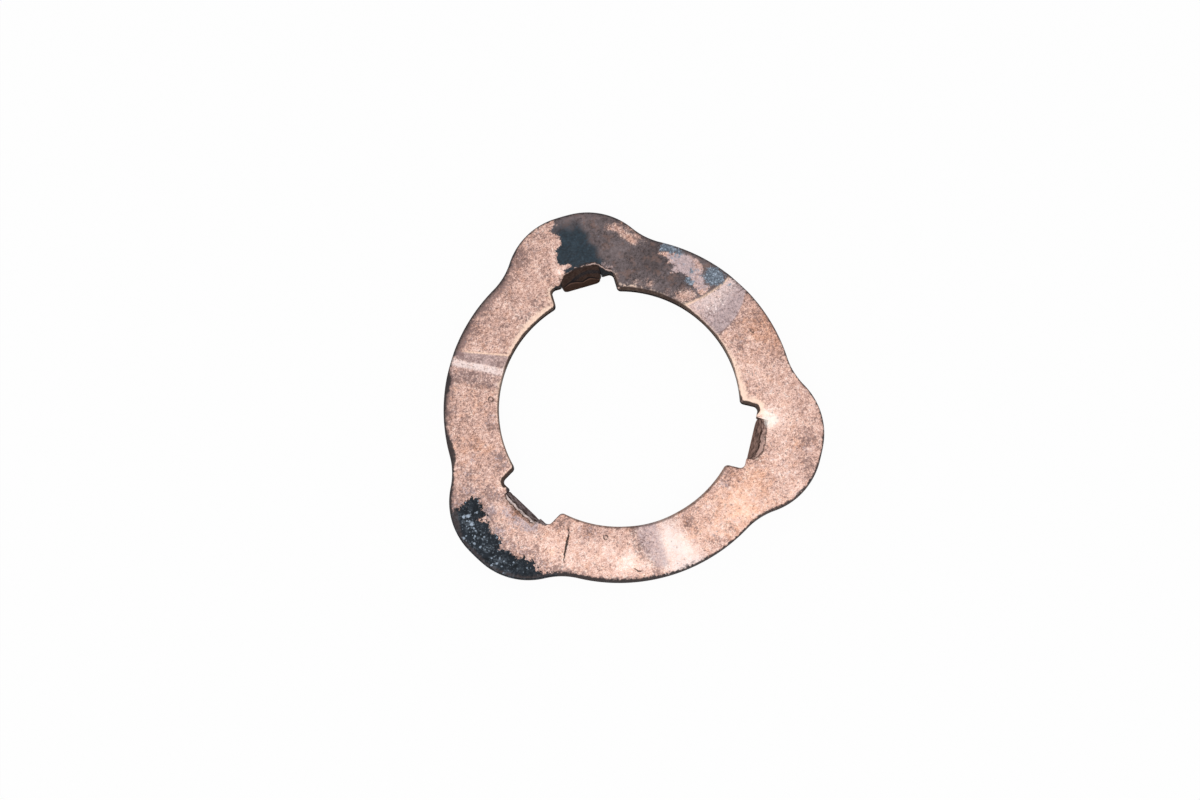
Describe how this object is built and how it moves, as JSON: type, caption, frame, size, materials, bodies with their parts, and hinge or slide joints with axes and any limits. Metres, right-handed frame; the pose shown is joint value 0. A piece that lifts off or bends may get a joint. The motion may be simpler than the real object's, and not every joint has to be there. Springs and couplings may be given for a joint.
{
  "type": "thrust washer",
  "caption": "Stamped lobed thrust washer with locating tabs bent down out of windows at its bore and shallow radial oil grooves across one face.",
  "frame": {"origin": "centre of the bore at the plain seat face, the side that the tabs point out of", "axes": "+Z along the bore axis out of the grooved thrust face, +Y through the middle of one lobe and its tab"},
  "size_m": [0.0652, 0.0652, 0.0052],
  "materials": {
    "bearing_bronze": "dull worn copper-pink bearing surface with purple-brown mottle, dark tarnish and burnished grooves"
  },
  "bodies": {
    "root": {"thrust_washer": "bearing_bronze"}
  },
  "joints": []
}
